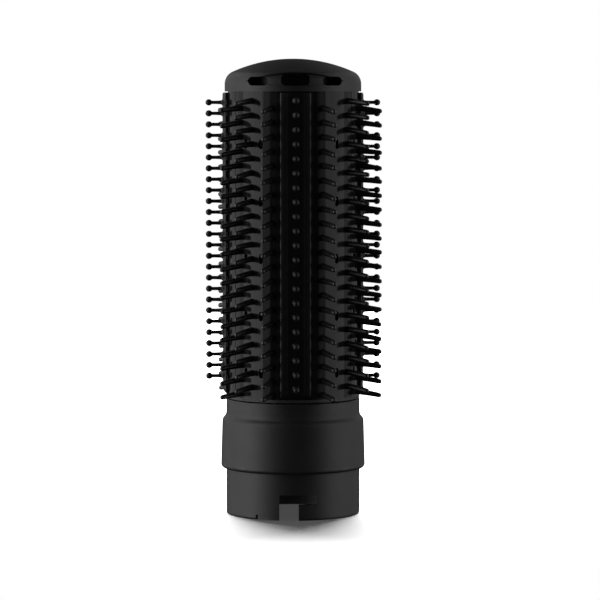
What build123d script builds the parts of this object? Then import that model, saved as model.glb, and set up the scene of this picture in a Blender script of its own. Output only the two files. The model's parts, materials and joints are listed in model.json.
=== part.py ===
from build123d import *
import os
from math import asin, cos, degrees, hypot, sqrt

# Turning brush head of a hot air styler: a bayonet socket and collar that lock to the
# handle, and a barrel of curved plates, bristle rails and pin rows that spins on them.
# Millimetres. +Z runs from the socket rim to the domed end cap, -Y is the front.
# The origin is the centre of the socket rim, which is what the head stands on.

os.makedirs("parts", exist_ok=True)

# ---- overall sizes ----
BARREL_R = 20.8          # outside of the curved plates
BARREL_LENGTH = 95.6     # turning barrel, from its foot to the end cap
COLLAR_HEIGHT = 21.8     # collar shell, from its lower lip to the neck's top face
SOCKET_SHOW = 14.4       # sleeve seen below the collar
CAP_HEIGHT = 10.2        # end cap above the plates

# ---- clearances ----
SEAT = 0.05              # between fixed pieces that seat in each other
RUN = 0.05               # radial, spindle in its bush
SPIN_GAP = 0.3           # axial, between the collar and the turning barrel
END_FLOAT = 0.2          # axial, spindle pieces against the bush and washer
SIDE_GAP = 0.2           # between a plate and the rails on each side of it
HOLE_GAP = 0.2           # round a pin where it comes through its plate
FLANGE_GAP = 0.2         # between the rails' flanges and the plates they hold
OVERCUT = 1.0            # how far a cutter reaches past what it cuts

# ---- collar and socket ----
NECK_PROUD = 0.1         # neck and sleeve stand this far outside the plates
SHOULDER_PROUD = 1.7     # collar's lower lip outside the sleeve
SHOULDER_DRAFT = 0.4     # the shoulder narrows by this much going up
SHOULDER_HEIGHT = 14.3   # lower lip to the start of the flare
FLARE_HEIGHT = 3.5       # shoulder to neck
LIP_ROUND = 1.2
SLEEVE_WALL = 2.0
RIM_ROUND = 0.7
SOCKET_DEPTH = 16.0      # free bore that the handle's snout enters
LEDGE_THICK = 4.0        # stop ledge above the bore
LEDGE_WIDTH = 5.9        # ledge, from the sleeve's outside inwards
NECK_WALL = 1.9
NECK_ROUND = 0.3
FLARE_PULL = 0.6         # how far the flare's ends run upright, as a share of its height

# ---- bayonet slots, the first at the front ----
BAYONETS = 3
ENTRY_WIDTH = 6.0        # upright slot that the handle's lug enters
ENTRY_X = -2.0           # its middle, seen from the front
LOCK_WIDTH = 11.5        # level slot that the lug turns along
LOCK_HEIGHT = 3.0
LOCK_Z = 4.9             # underside of the level slot
RELIEF_WIDTH = 7.2       # shallow lead-in beside the upright slot
RELIEF_HEIGHT = 1.6
RELIEF_DEPTH = 0.45

# ---- bearing ----
SPINDLE_R = 2.5
BUSH_WALL = 1.45
BUSH_FLANGE_R = 5.8
BUSH_FLANGE_T = 1.0
HUB_R = 6.4
SPIDER_RING_WIDTH = 4.0
SPIDER_RING_T = 3.0
SPIDER_ARM_T = 7.0
SPIDER_ARM_W = 2.6
SPIDER_ARMS = 3
WASHER_R = 6.0
WASHER_T = 0.8
BOSS_DROP = 1.6          # turning hub's boss below the barrel's foot
SCREW_R = 1.0
SCREW_HEAD_R = 1.6
SCREW_HEAD_T = 1.2
SCREW_LENGTH = 5.5
SCREW_DRIVE_R = 0.7

# ---- drive coupling ----
COUPLING_R = 5.5
COUPLING_LIFT = 0.6      # above the end of the free bore
DRIVE_HEX = 6.4          # across flats
COUPLING_WEB = 0.5       # left between the drive socket and the spindle
COUPLING_GRIP = 2.4      # spindle inside the coupling

# ---- turning frame ----
FOOT_T = 0.9             # foot flange under the plates and rails
FRAME_RING_WIDTH = 3.6
FRAME_ARM_W = 3.0
FRAME_ARMS = 4
FRAME_HUB_R = 5.0
FOOT_HUB_T = 5.5
MID_HUB_T = 4.0
TOP_HUB_T = 5.3
TOP_HUB_DROP = 2.8       # top hub's upper face below the end cap
CLIP_R = 4.2
CLIP_T = 0.8
CLIP_GROOVE_DEPTH = 0.6
CLIP_GAP = 50            # degrees
SPINDLE_CHAMFER = 0.4
DEFLECTOR_R = 12.5
DEFLECTOR_RISE = 5.0
DEFLECTOR_WALL = 1.0

# ---- plates, rails and rows ----
SIDES = 4
PLATE_T = 1.2
RAIL_PROUD = 1.2         # rail's face outside the plates
RAIL_HALF = 13.0         # degrees, half a rail's face
FLANGE_HALF = 15.5       # degrees, half the flange that holds the plates' edges
FLANGE_T = 1.2
RAIL_EDGE = 0.6
RAIL_TAPER = 1.3
RAIL_TOP_GAP = 0.3       # rail's top below the end cap
ROW_ANGLES = ((-20.5, 7.0, 26.0), (-8.0, 5.0, 24.0), (-24.0, -5.0, 8.0))  # from a plate's middle
PLATE_KINDS = (0, 1, 2, 1)                     # which angles each plate has
ROW_HALF = 3.0           # degrees, half a row's strip
ROW_T = 1.2
ROW_TOP_LAND = 0.2       # strip above its highest pin

# ---- pins ----
PIN_PITCH = 4.41
PIN_START = 4.5          # first pin above the barrel's foot
PIN_END = 2.8            # least room from the last pin to the end cap
PIN_REACH = 8.04         # long pin's tip outside the plates
PIN_ROOT_R = 0.8
PIN_TIP_R = 0.55
DENSE_PITCH = 3.42
DENSE_START = 6.7
DENSE_END = 3.3
BALL_REACH = 5.6         # centre of a ball tip outside the plates
BALL_R = 0.9
STEM_R = 0.47

# ---- air slots and seam of a plate ----
AIR_SLOT_WIDTH = 1.3
AIR_SLOT_LENGTH = 3.0
SEAM_WIDTH = 0.35
SEAM_DEPTH = 0.3
SEAM_ANGLES = (12.5, -16.4, 16.4)              # degrees, one line on each kind of plate
SLOT_ANGLES = ((-6.8, 18.0), (-1.5, 14.5), (-14.5, 1.5))      # degrees, between the rows
SLOT_SPACING = 4         # pins from one air slot to the next

# ---- end cap ----
CAP_OVERHANG = 0.5
CAP_DOME_R = 46.0
CAP_CORNER = 4.2
CAP_WALL = 1.8
SPIGOT_GAP = 0.3         # spigot above the tops of the pin rows
SPIGOT_WALL = 1.1
SEAT_RING_T = 1.2        # ring of the cap that rests on the plates
SEAT_RING_EDGE = 0.4     # ring inside the cap's outer face
VENT_FLOOR = 1.8         # vents' lower edge above the cap's seat
VENT_MIDDLE = (0.0, 8.8, 3.5)      # x, width, height
VENT_SIDE = (11.4, 6.0, 2.7)
VENT_ROUND = 1.3
BROW_HEIGHT = 4.0        # arched recess round the vents, at its middle
BROW_LIP = 0.3           # recess below the vents
BROW_HALF_WIDTH = 15.2
BROW_END = 1.4           # pointed ends of the recess above the vents' floor
BROW_DEPTH = 0.35
BAFFLE_R = 16.0          # skirt behind the vents, which hides the spindle
BAFFLE_WALL = 1.2
BAFFLE_LIFT = 0.6        # skirt's edge above the cap's seat

# ---- places worked out from the sizes above ----
NECK_R = BARREL_R + NECK_PROUD
SLEEVE_R = NECK_R
BORE_R = SLEEVE_R - SLEEVE_WALL
LEDGE_R = SLEEVE_R - LEDGE_WIDTH
SLEEVE_TOP = SOCKET_DEPTH + LEDGE_THICK
NECK_TOP = SOCKET_SHOW + COLLAR_HEIGHT
NECK_BORE_R = NECK_R - NECK_WALL
FOOT_Z = NECK_TOP + SPIN_GAP
CAP_Z = FOOT_Z + BARREL_LENGTH
PLATE_Z = FOOT_Z + FOOT_T
PLATE_IN_R = BARREL_R - PLATE_T
RAIL_OUT_R = BARREL_R + RAIL_PROUD
FLANGE_OUT_R = PLATE_IN_R - FLANGE_GAP
FLANGE_IN_R = FLANGE_OUT_R - FLANGE_T
FRAME_R = FLANGE_IN_R - SEAT
TOP_HUB_Z = CAP_Z - TOP_HUB_DROP
WASHER_TOP = FOOT_Z - BOSS_DROP - END_FLOAT
BUSH_TOP = WASHER_TOP - WASHER_T
BUSH_OUT_R = SPINDLE_R + RUN + BUSH_WALL
COUPLING_Z = SOCKET_DEPTH + COUPLING_LIFT
HUB_Z = SLEEVE_TOP + SPIDER_RING_T + 2 * BUSH_FLANGE_T
COUPLING_TOP = HUB_Z - BUSH_FLANGE_T - END_FLOAT
SPINDLE_Z = COUPLING_TOP - COUPLING_GRIP
SPINDLE_TOP = TOP_HUB_Z + 2 * CLIP_T + END_FLOAT
PLATE_HALF = 180 / SIDES - RAIL_HALF - degrees(SIDE_GAP / PLATE_IN_R)
PIN_COUNT = int((BARREL_LENGTH - PIN_START - PIN_END) / PIN_PITCH) + 1
DENSE_COUNT = int((BARREL_LENGTH - DENSE_START - DENSE_END) / DENSE_PITCH) + 1
ROW_TOP = FOOT_Z + PIN_START + (PIN_COUNT - 1) * PIN_PITCH + PIN_ROOT_R + ROW_TOP_LAND


def tube(r_out, r_in, z0, z1):
    """Upright tube between two heights."""
    ring = Circle(r_out) - Circle(r_in)
    return extrude(Pos(0, 0, z0) * ring, amount=z1 - z0)


def rod(r, z0, z1):
    return extrude(Pos(0, 0, z0) * Circle(r), amount=z1 - z0)


def block(x0, x1, y0, y1, z0, z1):
    """Box between two corners."""
    middle = Pos((x0 + x1) / 2, (y0 + y1) / 2, (z0 + z1) / 2)
    return middle * Box(x1 - x0, y1 - y0, z1 - z0)


def turned(points):
    """Solid of revolution about Z from an outline of (radius, height) points."""
    outline = make_face(Polyline(*[(r, 0, z) for r, z in points], close=True))
    return revolve(outline, Axis.Z)


def sector(r_in, r_out, half, z0, z1):
    """Arc-shaped bar that faces the front, half degrees each side of the middle."""
    outer = CenterArc((0, 0), r_out, -90 - half, 2 * half)
    inner = CenterArc((0, 0), r_in, -90 - half, 2 * half)
    sides = [Line(inner @ 0, outer @ 0), Line(inner @ 1, outer @ 1)]
    face = make_face([outer, inner, *sides])
    return extrude(Pos(0, 0, z0) * face, amount=z1 - z0, dir=(0, 0, 1))


def spider(ring_out, ring_width, ring_z, hub_r, hub_z, arm_w, arm_z, arms):
    """Ring and hub joined by arms; each _z is a pair of heights."""
    ring_in = ring_out - ring_width
    shape = tube(ring_out, ring_in, *ring_z) + rod(hub_r, *hub_z)
    arm = block(-arm_w / 2, arm_w / 2, -ring_in - ring_width / 2, -hub_r + SEAT, *arm_z)
    return shape + [Rot(0, 0, k * 360 / arms) * arm for k in range(arms)]


def socket_sleeve():
    """Sleeve that slides over the handle's snout, with a stop ledge inside."""
    body = tube(SLEEVE_R, BORE_R, 0, SOCKET_DEPTH) + tube(SLEEVE_R, LEDGE_R, SOCKET_DEPTH, SLEEVE_TOP)
    rim = body.edges().filter_by(GeomType.CIRCLE).group_by(Axis.Z)[0].sort_by(SortBy.RADIUS)[-1]
    body = fillet(rim, RIM_ROUND)
    lock_x = ENTRY_X - ENTRY_WIDTH / 2
    outside, inside = -SLEEVE_R - OVERCUT, -BORE_R + SLEEVE_WALL
    entry = block(lock_x, lock_x + ENTRY_WIDTH, outside, inside, -OVERCUT, LOCK_Z + LOCK_HEIGHT / 2)
    lock = block(lock_x, lock_x + LOCK_WIDTH, outside, inside, LOCK_Z, LOCK_Z + LOCK_HEIGHT)
    relief = block(lock_x - RELIEF_WIDTH, lock_x + OVERCUT, outside, inside, -OVERCUT, RELIEF_HEIGHT)
    relief -= rod(SLEEVE_R - RELIEF_DEPTH, -2 * OVERCUT, RELIEF_HEIGHT + OVERCUT)
    slots = [Rot(0, 0, k * 360 / BAYONETS) * cut for k in range(BAYONETS) for cut in (entry, lock, relief)]
    holes = screw_holes(SCREW_R - SEAT, SLEEVE_TOP + SPIDER_RING_T - SCREW_LENGTH)
    return body - slots - holes


def screw_places():
    """Turns about Z of the screws that hold the bearing spider, between its arms."""
    pitch = 360 / SPIDER_ARMS
    return [Rot(0, 0, (k + 0.5) * pitch) for k in range(SPIDER_ARMS)]


def screw_circle_r():
    return NECK_BORE_R - SPIDER_RING_WIDTH / 2


def screw_holes(radius, z0):
    """Screw holes up from z0 through the ledge and the spider's ring."""
    hole = Pos(0, -screw_circle_r(), 0) * rod(radius, z0, SLEEVE_TOP + SPIDER_RING_T + OVERCUT)
    return [place * hole for place in screw_places()]


def spider_screws():
    """Three self-tapping screws, one group."""
    head_z = SLEEVE_TOP + SPIDER_RING_T
    shank = rod(SCREW_R - SEAT, head_z - SCREW_LENGTH, head_z)
    head = rod(SCREW_HEAD_R, head_z, head_z + SCREW_HEAD_T)
    driver = extrude(Pos(0, 0, head_z + SCREW_HEAD_T / 2) * RegularPolygon(SCREW_DRIVE_R, 6), SCREW_HEAD_T)
    screw = Pos(0, -screw_circle_r(), 0) * (shank + head - driver)
    return Compound(children=[place * screw for place in screw_places()])


def collar_shell():
    """Flared grip collar and neck, one moulding over the sleeve."""
    lip_r = SLEEVE_R + SHOULDER_PROUD
    top_r = lip_r - SHOULDER_DRAFT
    flare_z = SOCKET_SHOW + SHOULDER_HEIGHT
    neck_z = flare_z + FLARE_HEIGHT
    side = Polyline((SLEEVE_R + SEAT, 0, SLEEVE_TOP), (SLEEVE_R + SEAT, 0, SOCKET_SHOW),
                    (lip_r, 0, SOCKET_SHOW), (top_r, 0, flare_z))
    flare = Bezier((top_r, 0, flare_z), (top_r, 0, flare_z + FLARE_PULL * FLARE_HEIGHT),
                   (NECK_R, 0, neck_z - FLARE_PULL * FLARE_HEIGHT), (NECK_R, 0, neck_z))
    neck = Polyline((NECK_R, 0, neck_z), (NECK_R, 0, NECK_TOP), (NECK_BORE_R, 0, NECK_TOP),
                    (NECK_BORE_R, 0, SLEEVE_TOP), (SLEEVE_R + SEAT, 0, SLEEVE_TOP))
    body = revolve(make_face([*side.edges(), flare, *neck.edges()]), Axis.Z)
    lip = body.edges().filter_by(GeomType.CIRCLE).sort_by(SortBy.RADIUS)[-1]
    body = fillet(lip, LIP_ROUND)
    top = body.edges().filter_by(GeomType.CIRCLE).group_by(Axis.Z)[-1]
    return fillet(top.sort_by(SortBy.RADIUS)[-1], NECK_ROUND)


def bearing_spider():
    """Spider in the neck that carries the spindle and lets the hot air past."""
    body = spider(NECK_BORE_R - SEAT, SPIDER_RING_WIDTH, (SLEEVE_TOP, SLEEVE_TOP + SPIDER_RING_T),
                  HUB_R, (HUB_Z, BUSH_TOP), SPIDER_ARM_W, (SLEEVE_TOP, SLEEVE_TOP + SPIDER_ARM_T),
                  SPIDER_ARMS)
    return body - rod(BUSH_OUT_R + SEAT, HUB_Z - OVERCUT, BUSH_TOP + OVERCUT) - \
        screw_holes(SCREW_R, SLEEVE_TOP - OVERCUT)


def spindle_bush():
    bore = rod(SPINDLE_R + RUN, HUB_Z - BUSH_FLANGE_T - OVERCUT, BUSH_TOP + OVERCUT)
    body = rod(BUSH_OUT_R, HUB_Z, BUSH_TOP) + rod(BUSH_FLANGE_R, HUB_Z - BUSH_FLANGE_T, HUB_Z)
    return body - bore


def thrust_washer():
    return tube(WASHER_R, SPINDLE_R + RUN, BUSH_TOP, WASHER_TOP)


def drive_coupling():
    """Coupling on the spindle's foot, with the socket for the motor's hexagon drive."""
    body = rod(COUPLING_R, COUPLING_Z, COUPLING_TOP)
    hex_top = SPINDLE_Z - COUPLING_WEB
    drive = extrude(Pos(0, 0, COUPLING_Z - OVERCUT) * RegularPolygon(DRIVE_HEX / sqrt(3), 6),
                    amount=hex_top - COUPLING_Z + OVERCUT)
    body -= rod(SPINDLE_R + SEAT, SPINDLE_Z, COUPLING_TOP + OVERCUT)
    return body - drive


def drive_spindle():
    """Steel spindle the length of the head, with a groove for its clip."""
    body = rod(SPINDLE_R, SPINDLE_Z, SPINDLE_TOP)
    body = chamfer(body.edges().filter_by(GeomType.CIRCLE).group_by(Axis.Z)[-1], SPINDLE_CHAMFER)
    groove = tube(SPINDLE_R + OVERCUT, SPINDLE_R - CLIP_GROOVE_DEPTH, TOP_HUB_Z, TOP_HUB_Z + CLIP_T + SEAT)
    return body - groove


def spindle_clip():
    """Open spring clip in the spindle's groove, on top of the top hub."""
    ring = tube(CLIP_R, SPINDLE_R - CLIP_GROOVE_DEPTH + SEAT, TOP_HUB_Z, TOP_HUB_Z + CLIP_T)
    return ring - sector(SEAT, CLIP_R + OVERCUT, CLIP_GAP / 2, TOP_HUB_Z - OVERCUT,
                         TOP_HUB_Z + CLIP_T + OVERCUT)


def frame_hub(z0, thick, drop=0.0):
    """Turning spider on the spindle that carries the rails and rows."""
    body = spider(FRAME_R, FRAME_RING_WIDTH, (z0, z0 + thick), FRAME_HUB_R, (z0 - drop, z0 + thick),
                  FRAME_ARM_W, (z0, z0 + thick), FRAME_ARMS)
    return body - rod(SPINDLE_R + SEAT, z0 - drop - OVERCUT, z0 + thick + OVERCUT)


def foot_hub():
    """Lower hub, with the flange that the plates, rails and rows stand on."""
    flange = tube(BARREL_R, FRAME_R - FRAME_RING_WIDTH / 2, FOOT_Z, PLATE_Z)
    return frame_hub(FOOT_Z, FOOT_HUB_T, BOSS_DROP) + flange


def middle_hub():
    return frame_hub(FOOT_Z + (BARREL_LENGTH - MID_HUB_T) / 2, MID_HUB_T)


def top_hub():
    return frame_hub(TOP_HUB_Z - TOP_HUB_T, TOP_HUB_T)


def air_deflector():
    """Cone under the top hub that turns most of the air out through the plates."""
    z1 = TOP_HUB_Z - TOP_HUB_T
    z0 = z1 - DEFLECTOR_RISE
    hub = FRAME_HUB_R
    bore = SPINDLE_R + SEAT
    return turned([(bore, z0), (hub, z0), (DEFLECTOR_R, z1 - DEFLECTOR_WALL), (DEFLECTOR_R, z1),
                   (hub, z0 + DEFLECTOR_WALL), (hub, z1), (bore, z1)])


def long_pin():
    """Tapered nylon pin with a rounded end, along the front direction."""
    root = FLANGE_IN_R + ROW_T / 2
    end = BARREL_R + PIN_REACH
    side = Polyline((0, 0), (PIN_ROOT_R, 0), (PIN_TIP_R, end - root - PIN_TIP_R))
    tip = CenterArc((0, end - root - PIN_TIP_R), PIN_TIP_R, 0, 90)
    axis = Line((0, end - root), (0, 0))
    pin = revolve(make_face([*side.edges(), tip, axis]), Axis.Y)
    return Pos(0, -root, 0) * Rot(0, 0, 180) * pin


def ball_pin():
    """Slim pin with a ball tip, along the front direction."""
    root = (FLANGE_OUT_R + RAIL_OUT_R) / 2
    ball = BARREL_R + BALL_REACH - root
    meet = asin(STEM_R / BALL_R)
    side = Polyline((0, 0), (STEM_R, 0), (STEM_R, ball - BALL_R * cos(meet)))
    start = degrees(meet) - 90
    tip = CenterArc((0, ball), BALL_R, start, 90 - start)
    axis = Line((0, ball + BALL_R), (0, 0))
    pin = revolve(make_face([*side.edges(), tip, axis]), Axis.Y)
    return Pos(0, -root, 0) * Rot(0, 0, 180) * pin


def pin_heights(start, pitch, count):
    return [FOOT_Z + start + k * pitch for k in range(count)]


def row_heights(row):
    """Heights of a plate row's pins; the outer rows sit half a pitch lower."""
    shift = 0.0 if row == 1 else -PIN_PITCH / 2
    return [z + shift for z in pin_heights(PIN_START, PIN_PITCH, PIN_COUNT)]


def bristle_rail(dense):
    """Rail between two plates: flange, face and one line of ball-tipped pins."""
    z1 = CAP_Z - RAIL_TOP_GAP
    head = sector(FLANGE_OUT_R, RAIL_OUT_R, RAIL_HALF, PLATE_Z, z1)
    outline = turned([(SPINDLE_R, PLATE_Z), (RAIL_OUT_R - RAIL_TAPER, PLATE_Z),
                      (RAIL_OUT_R, PLATE_Z + RAIL_TAPER), (RAIL_OUT_R, z1 - RAIL_EDGE),
                      (RAIL_OUT_R - RAIL_EDGE, z1), (SPINDLE_R, z1)])
    upright = head.edges().filter_by(Axis.Z).sort_by(lambda e: hypot(e.center().X, e.center().Y))
    head = fillet(upright[-2:], RAIL_EDGE) & outline
    flange = sector(FLANGE_IN_R, FLANGE_OUT_R, FLANGE_HALF, PLATE_Z, ROW_TOP)
    heights = pin_heights(*((DENSE_START, DENSE_PITCH, DENSE_COUNT) if dense
                            else (PIN_START, PIN_PITCH, PIN_COUNT)))
    return head + flange + [Pos(0, 0, z) * ball_pin() for z in heights]


def pin_row(row):
    """Strip behind a plate with one line of long pins."""
    strip = sector(FLANGE_IN_R, FLANGE_IN_R + ROW_T, ROW_HALF, PLATE_Z, ROW_TOP)
    return strip + [Pos(0, 0, z) * long_pin() for z in row_heights(row)]


def radial_hole(radius, angle, z):
    """Drill through a plate at an angle from its middle."""
    drill = Pos(0, -BARREL_R, z) * Rot(90, 0, 0) * Cylinder(radius, 4 * PLATE_T)
    return Rot(0, 0, angle) * drill


def air_slot(angle, z):
    """Upright round-ended slot through a plate."""
    shape = Rot(90, 0, 0) * SlotOverall(AIR_SLOT_LENGTH, AIR_SLOT_WIDTH, rotation=90)
    cut = extrude(Pos(0, -BARREL_R + 2 * PLATE_T, z) * shape, amount=2 * PLATE_T, both=True)
    return Rot(0, 0, angle) * cut


def curved_plate(kind):
    """Metal plate of the barrel, with pin holes, air slots and a fine seam line."""
    body = sector(PLATE_IN_R, BARREL_R, PLATE_HALF, PLATE_Z, CAP_Z)
    holes = [radial_hole(PIN_ROOT_R + HOLE_GAP, angle, z)
             for row, angle in enumerate(ROW_ANGLES[kind]) for z in row_heights(row)]
    slots = [air_slot(angle, z) for angle in SLOT_ANGLES[kind] for z in row_heights(1)[1:-1:SLOT_SPACING]]
    seam_half = degrees(SEAM_WIDTH / 2 / BARREL_R)
    seam = sector(BARREL_R - SEAM_DEPTH, BARREL_R + OVERCUT, seam_half, PLATE_Z, CAP_Z)
    return body - holes - slots - Rot(0, 0, SEAM_ANGLES[kind]) * seam


def vent(x, width, height):
    """Round-cornered window through the front of the cap's wall."""
    z = CAP_Z + VENT_FLOOR + height / 2
    shape = Rot(90, 0, 0) * RectangleRounded(width, height, VENT_ROUND)
    return extrude(Pos(x, 0, z) * shape, amount=CAP_WALL + BARREL_R)


def brow():
    """Lens-shaped band round the vents, cut a little way into the cap's face."""
    floor_z = CAP_Z + VENT_FLOOR
    left, right = ((side * BROW_HALF_WIDTH, 0, floor_z + BROW_END) for side in (-1, 1))
    arch = ThreePointArc(left, (0, 0, floor_z + BROW_HEIGHT), right)
    base = ThreePointArc(right, (0, 0, floor_z - BROW_LIP), left)
    face = make_face([arch, base])
    return extrude(face, amount=2 * BARREL_R, dir=(0, -1, 0))


def dome(inset):
    """Domed plug: the cap's outside, or its inside when inset by the wall."""
    r = BARREL_R + CAP_OVERHANG - inset
    top = CAP_Z + CAP_HEIGHT - inset
    dome_r = CAP_DOME_R - inset
    side_top = top - dome_r + sqrt(dome_r ** 2 - r ** 2)
    outline = [Line((0, 0, CAP_Z), (r, 0, CAP_Z)), Line((r, 0, CAP_Z), (r, 0, side_top)),
               ThreePointArc((r, 0, side_top),
                             (r / 2, 0, top - dome_r + sqrt(dome_r ** 2 - (r / 2) ** 2)), (0, 0, top)),
               Line((0, 0, top), (0, 0, CAP_Z))]
    face = make_face(outline)
    corner = face.vertices().filter_by(lambda v: v.X > SPINDLE_R and v.Z > CAP_Z + SEAT)
    return revolve(fillet(corner, CAP_CORNER - inset), Axis.Z)


def end_cap():
    """Domed cap with three vents front and back, a skirt behind them and a spigot."""
    band = brow() & (dome(0) - dome(BROW_DEPTH))
    hollow = dome(CAP_WALL)
    vents = [vent(*VENT_MIDDLE)] + [vent(side * VENT_SIDE[0], *VENT_SIDE[1:]) for side in (-1, 1)]
    cuts = [Rot(0, 0, turn) * cut for turn in (0, 180) for cut in (band, *vents)]
    spigot_r = FLANGE_OUT_R - SEAT
    spigot = tube(spigot_r, spigot_r - SPIGOT_WALL, ROW_TOP + SPIGOT_GAP, CAP_Z + SEAT_RING_T)
    seat_r = BARREL_R + CAP_OVERHANG - SEAT_RING_EDGE
    seat = tube(seat_r, spigot_r - SPIGOT_WALL, CAP_Z, CAP_Z + SEAT_RING_T)
    baffle = tube(BAFFLE_R, BAFFLE_R - BAFFLE_WALL, CAP_Z + BAFFLE_LIFT, CAP_Z + CAP_HEIGHT)
    return dome(0) - hollow - cuts + seat + spigot + (baffle & dome(CAP_WALL / 2))


def main():
    nodes = {
        "socket_sleeve": socket_sleeve(),
        "collar_shell": collar_shell(),
        "bearing_spider": bearing_spider(),
        "spider_screws": spider_screws(),
        "spindle_bush": spindle_bush(),
        "thrust_washer": thrust_washer(),
        "drive_coupling": drive_coupling(),
        "drive_spindle": drive_spindle(),
        "spindle_clip": spindle_clip(),
        "foot_hub": foot_hub(),
        "middle_hub": middle_hub(),
        "top_hub": top_hub(),
        "air_deflector": air_deflector(),
        "end_cap": end_cap(),
    }
    open_rail = bristle_rail(dense=False)
    dense_rail = bristle_rail(dense=True)
    for k, side in enumerate(("front", "right", "back", "left")):
        rail = dense_rail if side in ("left", "right") else open_rail
        nodes[f"{side}_rail"] = Rot(0, 0, k * 360 / SIDES) * rail
    plates = [curved_plate(kind) for kind in range(len(ROW_ANGLES))]
    rows = [pin_row(row) for row in range(len(ROW_ANGLES[0]))]
    for k in range(SIDES):
        middle = (k + 0.5) * 360 / SIDES
        kind = PLATE_KINDS[k]
        nodes[f"plate_{k + 1}"] = Rot(0, 0, middle) * plates[kind]
        for row, strip in enumerate(rows):
            turn = middle + ROW_ANGLES[kind][row]
            nodes[f"plate_{k + 1}_pin_row_{row + 1}"] = Rot(0, 0, turn) * strip
    for name, shape in nodes.items():
        export_step(shape, f"parts/{name}.step")
    print(len(nodes), "nodes, overall height", round(CAP_Z + CAP_HEIGHT, 2), "mm")


main()
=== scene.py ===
# %% [markdown]
# # A turning hot air brush head
# The head stands on its socket rim. A black collar locks to the handle, and above it a
# barrel of dark metal plates, bristle rails and nylon pins turns round a steel spindle.
# The engineering model is loaded first. It stays where it is, and everything below is
# either a finish for one of its pieces or a finer mesh that stands in for one.

# %% Load the fixed frame
import json
import bmesh
import bpy
from math import cos, degrees, pi, radians, sin
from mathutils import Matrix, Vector


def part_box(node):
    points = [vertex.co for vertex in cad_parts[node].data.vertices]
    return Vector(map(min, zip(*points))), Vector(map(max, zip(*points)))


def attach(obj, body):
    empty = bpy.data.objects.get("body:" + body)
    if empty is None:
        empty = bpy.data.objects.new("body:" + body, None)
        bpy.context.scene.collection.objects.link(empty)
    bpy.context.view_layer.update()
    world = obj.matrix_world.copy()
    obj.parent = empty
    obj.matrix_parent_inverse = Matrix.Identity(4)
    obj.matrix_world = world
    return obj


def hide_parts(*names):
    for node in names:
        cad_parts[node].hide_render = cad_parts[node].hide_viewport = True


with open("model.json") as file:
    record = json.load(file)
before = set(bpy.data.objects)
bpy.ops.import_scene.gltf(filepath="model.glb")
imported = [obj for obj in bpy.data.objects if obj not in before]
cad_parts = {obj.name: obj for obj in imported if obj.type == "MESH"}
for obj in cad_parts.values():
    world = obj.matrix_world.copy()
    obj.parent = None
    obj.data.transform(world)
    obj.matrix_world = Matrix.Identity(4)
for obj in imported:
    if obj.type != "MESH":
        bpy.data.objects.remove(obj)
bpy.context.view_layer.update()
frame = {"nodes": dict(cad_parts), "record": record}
nodes = frame["nodes"]
MM = 0.001

# %% [markdown]
# ## Camera
# A long lens from about a metre away keeps the cylinder's sides upright. The camera is
# level with the end cap, so the rims curve more and more towards the foot. It stands a
# little left of the front rail, which shows that rail just right of the middle.

# %% Camera
scene = bpy.context.scene
CAMERA_DISTANCE = 0.972
CAMERA_TURN = radians(-2.2)
CAMERA_HEIGHT = 0.132
PICTURE_WIDTH = 0.188          # what the picture spans at the head's axis
AIM_RIGHT = 0.0022
AIM_HEIGHT = 0.0669

camera = bpy.data.objects.new("camera", bpy.data.cameras.new("camera"))
scene.collection.objects.link(camera)
camera.location = (CAMERA_DISTANCE * sin(CAMERA_TURN), -CAMERA_DISTANCE * cos(CAMERA_TURN), CAMERA_HEIGHT)
aim = Vector((AIM_RIGHT * cos(CAMERA_TURN), AIM_RIGHT * sin(CAMERA_TURN), AIM_HEIGHT))
sight = aim - camera.location
camera.rotation_euler = sight.to_track_quat("-Z", "Y").to_euler()
camera.data.lens = camera.data.sensor_width * sight.length / PICTURE_WIDTH
camera.data.clip_start = 0.01
scene.camera = camera
print("lens", round(camera.data.lens), "mm")

# %% [markdown]
# ## Light
# A black cylinder shows only what it mirrors. Tall soft panels stand on each side, the
# left ones stronger, and draw the broad grey bands. On each side they get dimmer towards
# both ends, so the bands fade towards the outline. The dark room in front leaves the
# black stripe down the middle. Two faint panels behind and a high one on each side light
# the dome. The floor has a light of its own and isn't seen by the head, so it can be
# white under a dark head and still keep a soft contact shadow.

# %% Soft panels and floor
def soft_panel(name, middle, facing, width, height, radiance):
    """Upright area light whose face glows evenly."""
    lamp = bpy.data.lights.new(name, "AREA")
    lamp.shape = "RECTANGLE"
    lamp.size, lamp.size_y = width, height
    lamp.energy = radiance * pi * width * height
    panel = bpy.data.objects.new(name, lamp)
    scene.collection.objects.link(panel)
    panel.location = middle
    panel.rotation_euler = Vector(facing).to_track_quat("-Z", "Y").to_euler()
    panel.visible_camera = False
    return panel


PANEL_AWAY = 0.6
# near end, far end, lower edge, upper edge, and share of the side's brightness
PANEL_STEPS = ((-0.66, -0.42, -0.28, 0.70, 0.25), (-0.42, 0.06, -0.28, 0.70, 1.0),
               (0.06, 0.42, -0.28, 0.62, 0.42), (0.42, 1.0, -0.28, 0.50, 0.26), (0.10, 1.0, 0.62, 1.30, 0.6))
BACK_PANEL_AT, BACK_PANEL_SIZE = (0.62, 1.3, 0.65), (0.8, 1.0)
panels = []
# side, its brightness, and the brightness of the panel behind it
for name, side, strength, behind in (("left", -1, 2.2, 0.45), ("right", 1, 1.2, 0.35)):
    across, back, up = BACK_PANEL_AT
    panels.append(soft_panel(f"back_{name}", (side * across, back, up), (0, -1, 0), *BACK_PANEL_SIZE, behind))
    for step, (near, far, low, high, share) in enumerate(PANEL_STEPS):
        middle = (side * PANEL_AWAY, (near + far) / 2, (low + high) / 2)
        panels.append(soft_panel(f"{name}_{step}", middle, (-side, 0, 0),
                                 far - near, high - low, share * strength))

floor_mesh = bpy.data.meshes.new("floor")
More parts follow.
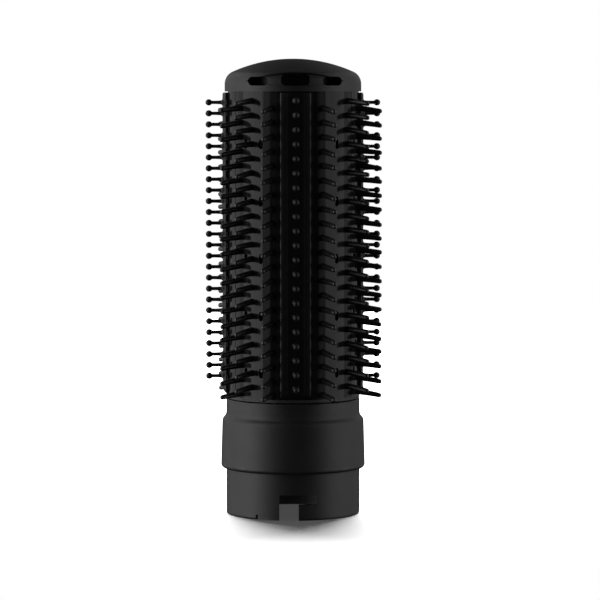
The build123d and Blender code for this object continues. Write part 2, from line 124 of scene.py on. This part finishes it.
# half its width, its front edge close to the rim, and its back edge
FLOOR_SIDE, FLOOR_FRONT, FLOOR_BACK = 0.9, -0.12, 0.9
floor_mesh.from_pydata([(-FLOOR_SIDE, FLOOR_FRONT, 0), (FLOOR_SIDE, FLOOR_FRONT, 0),
                        (FLOOR_SIDE, FLOOR_BACK, 0), (-FLOOR_SIDE, FLOOR_BACK, 0)], [], [(0, 1, 2, 3)])
floor = bpy.data.objects.new("floor", floor_mesh)
scene.collection.objects.link(floor)
print(len(panels), "soft panels")

# %% [markdown]
# The floor's light is a wide soft sun that reaches nothing else, low behind the head, so
# the shadow falls forward. It is strong enough to bleach the floor wherever less than
# half of it is hidden, which leaves only a small dark pool in front of the rim.

# %% Link the lights
SUN_LEAN, SUN_SPREAD, SUN_POWER = radians(42), radians(56), 10.5
backlight = bpy.data.lights.new("floor_sun", "SUN")
backlight.energy, backlight.angle = SUN_POWER, SUN_SPREAD
sun = bpy.data.objects.new("floor_sun", backlight)
scene.collection.objects.link(sun)
sun.rotation_euler = (-SUN_LEAN, 0, 0)
floor.visible_glossy = floor.visible_diffuse = floor.visible_shadow = False
floor_only = bpy.data.collections.new("floor_only")
floor_only.objects.link(floor)
sun.light_linking.receiver_collection = floor_only
all_but_floor = bpy.data.collections.new("all_but_floor")
all_but_floor.objects.link(floor)
all_but_floor.collection_objects[0].light_linking.link_state = "EXCLUDE"
for panel in panels:
    panel.light_linking.receiver_collection = all_but_floor

# %% [markdown]
# The room shows as plain white behind the head, but what the pieces mirror is a dim
# room: the world answers rays from the lens with white and all others with dark grey.

# %% World
ROOM_GREY = 0.02
world = bpy.data.worlds.new("room")
scene.world = world
world.use_nodes = True
room = world.node_tree
backing = room.nodes["Background"]
rays = room.nodes.new("ShaderNodeLightPath")
bright = room.nodes.new("ShaderNodeMath")
bright.operation = "MAXIMUM"
bright.inputs[1].default_value = ROOM_GREY
backing.inputs["Color"].default_value = (1, 1, 1, 1)
room.links.new(rays.outputs["Is Camera Ray"], bright.inputs[0])
room.links.new(bright.outputs[0], backing.inputs["Strength"])
scene.view_settings.view_transform = "Standard"

# %% [markdown]
# ## Writing shaders as sums
# A procedural finish is mostly arithmetic on noise. `Value` wraps a socket so that
# `noise * 0.3 + 0.2` adds the Math nodes itself, and `Finish.node` adds any other node:
# settings first, then the values or links of its sockets.

# %% Shader helpers
class Value:
    """A shader output that can be used in sums."""

    def __init__(self, finish, socket):
        self.finish, self.socket = finish, socket

    def math(self, operation, first, second):
        return self.finish.node("ShaderNodeMath", {"operation": operation}, {0: first, 1: second})

    def __add__(self, other): return self.math("ADD", self, other)
    def __radd__(self, other): return self.math("ADD", other, self)
    def __sub__(self, other): return self.math("SUBTRACT", self, other)
    def __rsub__(self, other): return self.math("SUBTRACT", other, self)
    def __mul__(self, other): return self.math("MULTIPLY", self, other)
    def __rmul__(self, other): return self.math("MULTIPLY", other, self)


class Finish:
    """A material being made: its node tree, its main shader and its place texture."""

    def __init__(self, name):
        self.material = bpy.data.materials.new(name)
        self.material.use_nodes = True
        self.tree = self.material.node_tree
        self.shader = self.tree.nodes["Principled BSDF"]
        self.place = self.node("ShaderNodeTexCoord", output="Object")

    def node(self, kind, settings=None, sockets=None, output=0):
        made = self.tree.nodes.new(kind)
        for name, value in (settings or {}).items():
            setattr(made, name, value)
        for name, value in (sockets or {}).items():
            self.feed(made.inputs[name], value)
        return Value(self, made.outputs[output])

    def feed(self, target, value):
        if isinstance(value, Value):
            self.tree.links.new(value.socket, target)
        else:
            target.default_value = value

    def set(self, **sockets):
        """Feeds the main shader; underscores stand for spaces."""
        for name, value in sockets.items():
            self.feed(self.shader.inputs[name.replace("_", " ")], value)

    def noise(self, scale, detail=3.0, vector=None):
        return self.node("ShaderNodeTexNoise", None,
                         {"Vector": vector or self.place, "Scale": scale, "Detail": detail})

    def stretched(self, x, y, z):
        """The place texture, scaled by a number along each axis."""
        return self.node("ShaderNodeVectorMath", {"operation": "MULTIPLY"}, {0: self.place, 1: (x, y, z)})

    def between(self, value, low, high):
        """Smooth step from 0 to 1 as a value goes from low to high."""
        return self.node("ShaderNodeMapRange", {"interpolation_type": "SMOOTHSTEP"},
                         {"Value": value, "From Min": low, "From Max": high})

    def height(self):
        return self.node("ShaderNodeSeparateXYZ", None, {"Vector": self.place}, output="Z")

    def from_spindle(self):
        """How far a point is from the spindle's centre line."""
        flat = self.stretched(1, 1, 0)
        return self.node("ShaderNodeVectorMath", {"operation": "LENGTH"}, {0: flat}, output="Value")

    def colours(self, mask, low, high):
        """One colour where the mask is 0 and another where it is 1."""
        return self.node("ShaderNodeMix", {"data_type": "RGBA"},
                         {"Factor": mask, "A": (*low, 1), "B": (*high, 1)}, output=2)

    def bump(self, relief, strength, distance):
        self.set(Normal=self.node("ShaderNodeBump", None,
                                  {"Height": relief, "Strength": strength, "Distance": distance}))

# %% [markdown]
# ## Moulded casing
# The collar, socket and end cap are black plastic from a finely spark-eroded mould. Close
# up that is a dense, shallow grain about a tenth of a millimetre across. Handling
# polishes the edges that rub: the socket rim and the collar's lip, where the finish is a
# little smoother and greyer, in broken patches.

# %% Casing finish
def moulded_casing():
    finish = Finish("moulded_casing")
    grain = finish.noise(9000, 2)
    cloud = finish.noise(160, 4)
    z = finish.height()
    rim = 1 - finish.between(z, 0.2 * MM, 2.0 * MM)
    lip = finish.between(z, 14.0 * MM, 14.8 * MM) * (1 - finish.between(z, 15.2 * MM, 16.6 * MM))
    rubbed = (rim + lip) * finish.between(finish.noise(420, 5), 0.46, 0.66)
    finish.set(Base_Color=finish.colours(rubbed * 0.7 + cloud * 0.25, (0.004, 0.0041, 0.0042),
                                         (0.013, 0.0132, 0.0132)),
               Roughness=0.44 + cloud * 0.10 - rubbed * 0.10 + grain * 0.04,
               Specular_IOR_Level=0.5)
    finish.bump(grain, 0.22, 0.05 * MM)
    return finish.material


casing = moulded_casing()
print("casing finish:", len(casing.node_tree.nodes), "nodes")

# %% [markdown]
# ## Coated plates
# The curved plates heat the hair. They are aluminium under a black ceramic coat as glossy
# as glass, so they mirror the panels and the pins. The drawn metal shows through as faint
# upright lines, so the noise is squeezed round the barrel and stretched along it, and
# fine dust breaks the shine.

# %% Plate finish
def coated_plate():
    finish = Finish("coated_plate")
    lines = finish.noise(1.0, 4, finish.stretched(2600, 2600, 24))
    streak = finish.between(finish.noise(1.0, 3, finish.stretched(900, 900, 14)), 0.35, 0.7)
    haze = finish.noise(210, 5)
    specks = finish.between(finish.noise(3800, 2), 0.72, 0.80)
    finish.set(Base_Color=finish.colours(specks * 0.6 + streak * 0.3, (0.006, 0.006, 0.0062),
                                         (0.035, 0.035, 0.034)),
               Roughness=0.06 + streak * 0.07 + haze * 0.05 + specks * 0.3,
               Specular_IOR_Level=0.20)
    finish.bump(lines, 0.08, 0.02 * MM)
    return finish.material


plate_coat = coated_plate()
print("plate finish:", len(plate_coat.node_tree.nodes), "nodes")

# %% [markdown]
# ## Nylon, frame plastic and metals
# The rails are satin nylon and the pins are the same nylon, greyer and shinier. A rail and
# its ball pins are one moulding, so one finish tells them apart by how far a point stands
# from the spindle, and paints the rail's face darker as painted shade and the ball pins
# greyer as a painted highlight. The inner frame is a duller glass-filled plastic. Steel and
# bronze are turned, which leaves rings round them.

# %% Nylon and inner finishes
def plain_plastic(name, dark, light, rough, grain_scale, relief):
    """Plastic with a slight change of tone and a shallow grain."""
    finish = Finish(name)
    tone = finish.noise(240, 4)
    grain = finish.noise(grain_scale, 2)
    finish.set(Base_Color=finish.colours(tone, dark, light), Roughness=rough + tone * 0.08 + grain * 0.03)
    finish.bump(grain, relief, 0.04 * MM)
    return finish.material


def turned_metal(name, dark, light, rough):
    """Metal with fine rings across the spindle's length."""
    finish = Finish(name)
    rings = finish.noise(1.0, 2, finish.stretched(60, 60, 5200))
    finish.set(Base_Color=finish.colours(rings, dark, light), Metallic=1.0, Roughness=rough + rings * 0.12)
    finish.bump(rings, 0.08, 0.03 * MM)
    return finish.material


def rail_with_painted_light():
    """Near-black on the rail's face as painted shade and greyer on the pins, which stand clear of the barrel,
    as a painted highlight.
    """
    finish = Finish("rail_nylon")
    tone, grain = finish.noise(240, 4), finish.noise(5200, 2)
    # Painted light: this mask paints the rail's face darker as painted shade and the pins standing clear of
    # it greyer as a painted highlight, though both are the same nylon.
    clear = finish.between(finish.from_spindle(), 22.3 * MM, 23.0 * MM)
    finish.set(Base_Color=finish.colours(clear * 0.7 + tone * 0.3, (0.002, 0.002, 0.0021),
                                         (0.014, 0.014, 0.0138)),
               Roughness=0.30 + tone * 0.08 + grain * 0.03,
               Specular_IOR_Level=0.26)
    finish.bump(grain, 0.12, 0.04 * MM)
    return finish.material


rail_nylon = rail_with_painted_light()
pin_nylon = plain_plastic("pin_nylon", (0.008, 0.008, 0.0078), (0.014, 0.014, 0.0135), 0.30, 4200, 0.05)
frame_plastic = plain_plastic("frame_plastic", (0.012, 0.012, 0.012), (0.022, 0.022, 0.021),
                              0.52, 3600, 0.20)
washer_plastic = plain_plastic("washer_plastic", (0.62, 0.61, 0.57), (0.74, 0.73, 0.69),
                               0.45, 3000, 0.10)
steel = turned_metal("turned_steel", (0.48, 0.48, 0.49), (0.62, 0.62, 0.63), 0.24)
bronze = turned_metal("sintered_bronze", (0.42, 0.27, 0.12), (0.56, 0.37, 0.18), 0.38)
print("finishes so far:", len(bpy.data.materials))

# %% [markdown]
# The floor is matt white. A little emission keeps it white to the picture's edges.

# %% Floor finish
def white_floor():
    finish = Finish("white_floor")
    finish.set(Base_Color=(0.9, 0.9, 0.9, 1), Roughness=0.9, Specular_IOR_Level=0.1,
               Emission_Color=(1, 1, 1, 1), Emission_Strength=0.06)
    return finish.material


floor.data.materials.append(white_floor())

# %% [markdown]
# ## Finishes on the engineering pieces
# These shapes are already right, so they only take a finish.

# %% Assign finishes
finish_of = {"satin_casing": casing, "inner_frame": frame_plastic, "plate_coating": plate_coat,
             "rail_nylon": rail_nylon, "pin_nylon": pin_nylon, "bright_steel": steel,
             "bronze": bronze, "washer_plastic": washer_plastic}
for part in frame["record"]["subparts"]:
    node = nodes[part["node"]]
    if not node.material_slots:
        node.data.materials.append(None)
    for slot in node.material_slots:
        slot.material = finish_of[part["material_slot"]]
print("finishes given to", len(nodes), "pieces")

# %% [markdown]
# ## Sizes of the barrel
# Everything on the barrel is placed from the frame: the plates give its radius, the rails
# give the heights, and the tips of the bristles give how far they reach. The pitch of the
# bristles is the mould maker's own choice, so it is written here.

# %% Barrel sizes
def reach(name):
    """How far a piece of the frame gets from the spindle's middle."""
    return max(Vector(vertex.co.xy).length for vertex in nodes[name].data.vertices)


barrel_r = reach("plate_1")
foot_z, rail_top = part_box("front_rail")[0].z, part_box("front_rail")[1].z
strip_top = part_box("plate_1_pin_row_2")[1].z
pin_tip_r, ball_tip_r = reach("plate_1_pin_row_2"), reach("front_rail")
PITCH, DENSE_PITCH = 4.41 * MM, 3.42 * MM
PIN_COUNT, DENSE_COUNT = 21, 26
RAIL_START, DENSE_START = foot_z + 3.6 * MM, foot_z + 5.8 * MM
print("barrel radius", round(barrel_r / MM, 2), "pins reach", round(pin_tip_r / MM, 2),
      "balls reach", round(ball_tip_r / MM, 2), "mm")

# %% [markdown]
# ## Two ways to raise a solid
# A rail or a strip has the same outline all the way up, so it is a stack of rings joined
# by faces, with a lid on each end. A pin is round, so it is an outline turned about its
# own length. Both end as closed shells whose faces point outwards.

# %% Stack rings, turn outlines
SHARP = radians(38)


def closed_mesh(name, shape):
    """Merges doubles, turns every face outwards and keeps crisp edges crisp."""
    bmesh.ops.remove_doubles(shape, verts=shape.verts, dist=0.001 * MM)
    bmesh.ops.recalc_face_normals(shape, faces=shape.faces)
    mesh = bpy.data.meshes.new(name)
    shape.to_mesh(mesh)
    shape.free()
    mesh.shade_smooth()
    mesh.set_sharp_from_angle(angle=SHARP)
    return mesh


def stack(name, rings):
    """Closed solid through rings of points that all have the same count."""
    shape = bmesh.new()
    rows = [[shape.verts.new(point) for point in ring] for ring in rings]
    for below, above in zip(rows, rows[1:]):
        for k in range(len(below)):
            shape.faces.new((below[k - 1], below[k], above[k], above[k - 1]))
    shape.faces.new(rows[0])
    shape.faces.new(rows[-1])
    return closed_mesh(name, shape)


def turned_shell(shape, outline, sides, bend=0.0):
    """Adds a round shell along -Y from (radius, distance) points; bend drops its far end."""
    length = outline[-1][1]
    rows = []
    for radius, along in outline:
        drop = -bend * max(along, 0) ** 2 / length ** 2
        around = [2 * pi * k / sides for k in range(sides if radius else 1)]
        rows.append([shape.verts.new((radius * cos(a), -along, drop + radius * sin(a))) for a in around])
    for near, far in zip(rows, rows[1:]):
        for k in range(sides):
            corners = [near[(k - 1) % len(near)], near[k % len(near)],
                       far[k % len(far)], far[(k - 1) % len(far)]]
            shape.faces.new(list(dict.fromkeys(corners)))


def arc_points(radius, start, end, count):
    """Points on an arc round the spindle; angles are degrees from the front."""
    turns = [radians(start + (end - start) * k / count) for k in range(count + 1)]
    return [(radius * sin(turn), -radius * cos(turn)) for turn in turns]

# %% [markdown]
# ## Long pins
# A long pin is a tapered nylon bristle with a round end, soft enough to sag a little
# under the heat. It could be a cone, but the sag and the rounded end are what the eye
# catches against the light. Its outline is turned in a few dozen faces, because it is
# about to be repeated some 250 times. It starts behind the plate, in its strip.

# %% Model one long pin
PIN_SIDES = 10
PIN_BURIED = 1.6 * MM          # root hidden in the strip
PIN_ROOT_R, PIN_TIP_R = 1.00 * MM, 0.76 * MM
PIN_SAG = 0.25 * MM
pin_length = pin_tip_r - barrel_r
pin_outline = [(0, -PIN_BURIED), (PIN_ROOT_R, -PIN_BURIED),
               (PIN_ROOT_R * 0.97, 0), (PIN_ROOT_R * 0.90, pin_length * 0.35),
               (PIN_TIP_R * 1.05, pin_length * 0.68), (PIN_TIP_R, pin_length - 0.80 * MM),
               (PIN_TIP_R * 0.86, pin_length - 0.32 * MM), (PIN_TIP_R * 0.5, pin_length - 0.08 * MM),
               (0, pin_length)]
shape = bmesh.new()
turned_shell(shape, pin_outline, PIN_SIDES, PIN_SAG)
long_pin = bpy.data.objects.new("long_pin", closed_mesh("long_pin", shape))
print("long pin:", round(pin_length / MM, 2), "mm,", len(long_pin.data.polygons), "faces")

# %% [markdown]
# ## Ball-tipped pins
# The rails carry slimmer pins that end in a ball, which keeps them off the scalp. Each
# grows from a small moulded boss. On both sides of the rail a short lug lies on the
# neighbouring plate and holds it down, so boss, pin and lugs are one shape.

# %% Model one ball pin with its boss and lugs
STEM_R, BALL_R = 0.54 * MM, 1.05 * MM
RAIL_FACE = 22.0 * MM          # from the spindle's centre line
BOSS_R, BOSS_BURIED, BOSS_RISE = 1.15 * MM, 0.8 * MM, 0.62 * MM
LUG_HALF, LUG_START, LUG_END, LUG_RISE = 0.75 * MM, 12.4, 15.6, 0.62 * MM
stem_length = ball_tip_r - RAIL_FACE
ball_middle = stem_length - BALL_R
ball = [(BALL_R * sin(radians(a)), ball_middle - BALL_R * cos(radians(a)))
        for a in (32, 55, 80, 105, 130, 155)]
ball_outline = [(0, -BOSS_BURIED), (BOSS_R, -BOSS_BURIED), (1.05 * MM, 0.02 * MM), (0.72 * MM, 0.30 * MM),
                (STEM_R * 1.15, BOSS_RISE), (STEM_R, ball_middle * 0.5), *ball, (0, stem_length)]
shape = bmesh.new()
turned_shell(shape, ball_outline, PIN_SIDES)
for side in (-1, 1):
    base = arc_points(barrel_r + 0.03 * MM, side * LUG_START, side * LUG_END, 2)
    top = arc_points(barrel_r + LUG_RISE, side * LUG_START, side * (LUG_END - 0.3), 2)
    outline = [*base, *reversed(top)]
    rows = [[shape.verts.new((x, y + RAIL_FACE, z)) for x, y in outline] for z in (-LUG_HALF, LUG_HALF)]
    for k in range(len(outline)):
        shape.faces.new((rows[0][k - 1], rows[0][k], rows[1][k], rows[1][k - 1]))
    for row in rows:
        shape.faces.new(row)
ball_pin = bpy.data.objects.new("ball_pin", closed_mesh("ball_pin", shape))
print("ball pin:", round(stem_length / MM, 2), "mm,", len(ball_pin.data.polygons), "faces")

# %% [markdown]
# ## Repeating a pin with Geometry Nodes
# The moulded rows differ only in pitch, count and which pin they carry, so one node tree
# makes them all. It lays points up the barrel, puts the pin on each with a little seeded
# lean, since no two bristles stay quite alike, joins them to the strip they grow from and
# turns the whole row to its place. Copying by hand would fix 350 pins for ever; here one
# number moves a row.

# %% Geometry node helpers
class Graph:
    """A geometry node tree being built, with named inputs."""

    def __init__(self, name, inputs):
        self.tree = bpy.data.node_groups.new(name, "GeometryNodeTree")
        self.keys = {}
        self.tree.interface.new_socket("Geometry", in_out="INPUT", socket_type="NodeSocketGeometry")
        self.tree.interface.new_socket("Geometry", in_out="OUTPUT", socket_type="NodeSocketGeometry")
        for label, kind in inputs.items():
            socket = self.tree.interface.new_socket(label, in_out="INPUT", socket_type="NodeSocket" + kind)
            self.keys[label] = socket.identifier
        self.entry = self.tree.nodes.new("NodeGroupInput")
        self.exit = self.tree.nodes.new("NodeGroupOutput")

    def given(self, label):
        return Value(self, self.entry.outputs[label])

    node = Finish.node
    feed = Finish.feed


SIDEWAYS = 0.6                 # share of the lean that also goes sideways


def bristle_tree():
    graph = Graph("bristle_row", {"Pin": "Object", "Count": "Int", "Pitch": "Float", "Start": "Float",
                                  "Radius": "Float", "Turn": "Float", "Droop": "Float", "Lean": "Float",
                                  "Seed": "Int", "Material": "Material"})
    given = graph.given
    first = graph.node("ShaderNodeCombineXYZ", None, {"Y": given("Radius") * -1, "Z": given("Start")})
    step = graph.node("ShaderNodeCombineXYZ", None, {"Z": given("Pitch")})
    line = graph.node("GeometryNodeMeshLine", None,
                      {"Count": given("Count"), "Start Location": first, "Offset": step})
    low = graph.node("ShaderNodeCombineXYZ", None,
                     {"X": given("Droop") - given("Lean"), "Z": given("Lean") * -SIDEWAYS})
    high = graph.node("ShaderNodeCombineXYZ", None,
                      {"X": given("Droop") + given("Lean"), "Z": given("Lean") * SIDEWAYS})
    lean = graph.node("FunctionNodeRandomValue", {"data_type": "FLOAT_VECTOR"},
                      {0: low, 1: high, "Seed": given("Seed")})
    pin = graph.node("GeometryNodeObjectInfo", {"transform_space": "ORIGINAL"}, {"Object": given("Pin")},
                     output="Geometry")
    pins = graph.node("GeometryNodeInstanceOnPoints", None,
                      {"Points": line, "Instance": pin, "Rotation": lean})
    pins = graph.node("GeometryNodeRealizeInstances", None, {"Geometry": pins})
    joined = graph.node("GeometryNodeJoinGeometry", None, {"Geometry": given("Geometry")})
    graph.tree.links.new(pins.socket, joined.socket.node.inputs["Geometry"])
    turn = graph.node("ShaderNodeCombineXYZ", None, {"Z": given("Turn")})
    turned = graph.node("GeometryNodeTransform", None, {"Geometry": joined, "Rotation": turn})
    whole = graph.node("GeometryNodeRealizeInstances", None, {"Geometry": turned})
    finished = graph.node("GeometryNodeSetMaterial", None, {"Geometry": whole, "Material": given("Material")})
    graph.tree.links.new(finished.socket, graph.exit.inputs["Geometry"])
    return graph


bristles = bristle_tree()
print("bristle tree:", len(bristles.tree.nodes), "nodes")

# %% [markdown]
# A modifier's inputs are set by each socket's identifier before the object is first
# evaluated. The evaluated result then becomes a plain mesh and the modifier goes away,
# because the finished piece has to stand by itself.

# %% Make one finished row
def bristle_piece(name, base, **inputs):
    """Runs the bristle tree on a base mesh and returns the plain result."""
    piece = bpy.data.objects.new(name, base)
    scene.collection.objects.link(piece)
    modifier = piece.modifiers.new("bristles", "NODES")
    modifier.node_group = bristles.tree
    for label, value in inputs.items():
        modifier[bristles.keys[label]] = value
    made = bpy.data.meshes.new_from_object(piece.evaluated_get(bpy.context.evaluated_depsgraph_get()))
    piece.modifiers.clear()
    piece.data = made
    made.name = name
    return piece


def stand_for(piece, node):
    """The piece rides on the turning barrel in place of a node of the frame."""
    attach(piece, "brush")
    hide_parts(node)

# %% [markdown]
# ## Pin rows
# Each of the four plates has three rows of long pins. A row is moulded on a curved strip
# that lies behind the plate, and its pins come out through the plate's holes. The outer
# rows sit half a pitch lower than the middle one, so the pins are staggered.

# %% Make the twelve pin rows
STRIP_IN, STRIP_OUT, STRIP_HALF = 18.25 * MM, 19.35 * MM, 2.9
PIN_DROOP, PIN_LEAN = radians(5.0), radians(2.4)
PLATE_TURNS = {1: 45, 2: 135, 3: 225, 4: 315}          # degrees from the front
ROW_TURNS = {1: (-20.5, 7, 26), 2: (-8, 5, 24), 3: (-24, -5, 8), 4: (-8, 5, 24)}
strip_outline = [*arc_points(STRIP_IN, -STRIP_HALF, STRIP_HALF, 4),
                 *arc_points(STRIP_OUT, STRIP_HALF, -STRIP_HALF, 4)]
for plate, plate_turn in PLATE_TURNS.items():
    for row, row_turn in enumerate(ROW_TURNS[plate], start=1):
        strip = stack("strip", [[(x, y, z) for x, y in strip_outline] for z in (foot_z, strip_top)])
        start = RAIL_START if row == 2 else RAIL_START - PITCH / 2
        piece = bristle_piece(f"long_pins_{plate}_{row}", strip, Pin=long_pin, Count=PIN_COUNT, Pitch=PITCH,
                              Start=start, Radius=barrel_r, Turn=radians(plate_turn + row_turn),
                              Droop=PIN_DROOP, Lean=PIN_LEAN, Seed=10 * plate + row, Material=pin_nylon)
        stand_for(piece, f"plate_{plate}_pin_row_{row}")
print("last pin row:", len(piece.data.polygons), "faces")

# %% [markdown]
# ## Bristle rails
# A rail closes the gap between two plates. Its face is a shallow step: a middle land that
# carries the pins and two lower shoulders. The edges are rounded, because a moulded edge
# always catches a thin line of light. Behind the face a wider flange hooks under the
# plates. At the foot the face tapers in, and the flange stops below the end cap.

# %% Make the four rails
FLANGE_IN, FLANGE_OUT, FLANGE_HALF = 18.22 * MM, 19.38 * MM, 15.4
LAND_HALF, SHOULDER_DROP, FACE_HALF = 6.6, 0.10 * MM, 13.0
EDGE = 0.60 * MM
EDGE_HALF = degrees(EDGE / RAIL_FACE)
BALL_LEAN = radians(0.5)


def rail_ring(z, drop=0.0, flange=True):
    """Outline of a rail at one height; drop lowers its face, as at the tapered foot."""
    face = RAIL_FACE - drop
    shoulder = face - SHOULDER_DROP
    back_half = FLANGE_HALF if flange else FACE_HALF
    half = [(back_half, FLANGE_IN), (back_half, FLANGE_OUT),
            (FACE_HALF, FLANGE_OUT), (FACE_HALF, shoulder - EDGE)]
    half += [(FACE_HALF - EDGE_HALF * (1 - cos(radians(a))), shoulder - EDGE * (1 - sin(radians(a))))
             for a in (30, 60, 90)]
    half += [(LAND_HALF + 1.2, shoulder), (LAND_HALF + 0.6, shoulder + SHOULDER_DROP * 0.3),
             (LAND_HALF, face - SHOULDER_DROP * 0.2), (LAND_HALF - 0.7, face),
             (LAND_HALF / 2, face), (0, face)]
    full = half + [(-angle, r) for angle, r in reversed(half[:-1])]
    return [(r * sin(radians(angle)), -r * cos(radians(angle)), z) for angle, r in full]


FOOT_STEPS = ((0, 1.3), (0.9, 0.5), (1.6, 0.08), (2.1, 0))     # height above the foot, drop of the face
rings = [rail_ring(foot_z + up * MM, drop * MM) for up, drop in FOOT_STEPS]
rings += [rail_ring(strip_top), rail_ring(strip_top, flange=False),
          rail_ring(rail_top - EDGE, flange=False), rail_ring(rail_top - 0.16 * MM, 0.16 * MM, False),
          rail_ring(rail_top, EDGE, False)]
# each rail's turn in degrees from the front, and whether its pins are set closer
RAILS = {"front_rail": (0, False), "right_rail": (90, True),
         "back_rail": (180, False), "left_rail": (270, True)}
for number, (node, (turn, dense)) in enumerate(RAILS.items()):
    piece = bristle_piece(f"bristle_{node}", stack("rail", rings), Pin=ball_pin,
                          Count=DENSE_COUNT if dense else PIN_COUNT, Pitch=DENSE_PITCH if dense else PITCH,
                          Start=DENSE_START if dense else RAIL_START, Radius=RAIL_FACE, Turn=radians(turn),
                          Droop=0.0, Lean=BALL_LEAN, Seed=100 + number, Material=rail_nylon)
    stand_for(piece, node)
print("last rail:", len(piece.data.polygons), "faces")
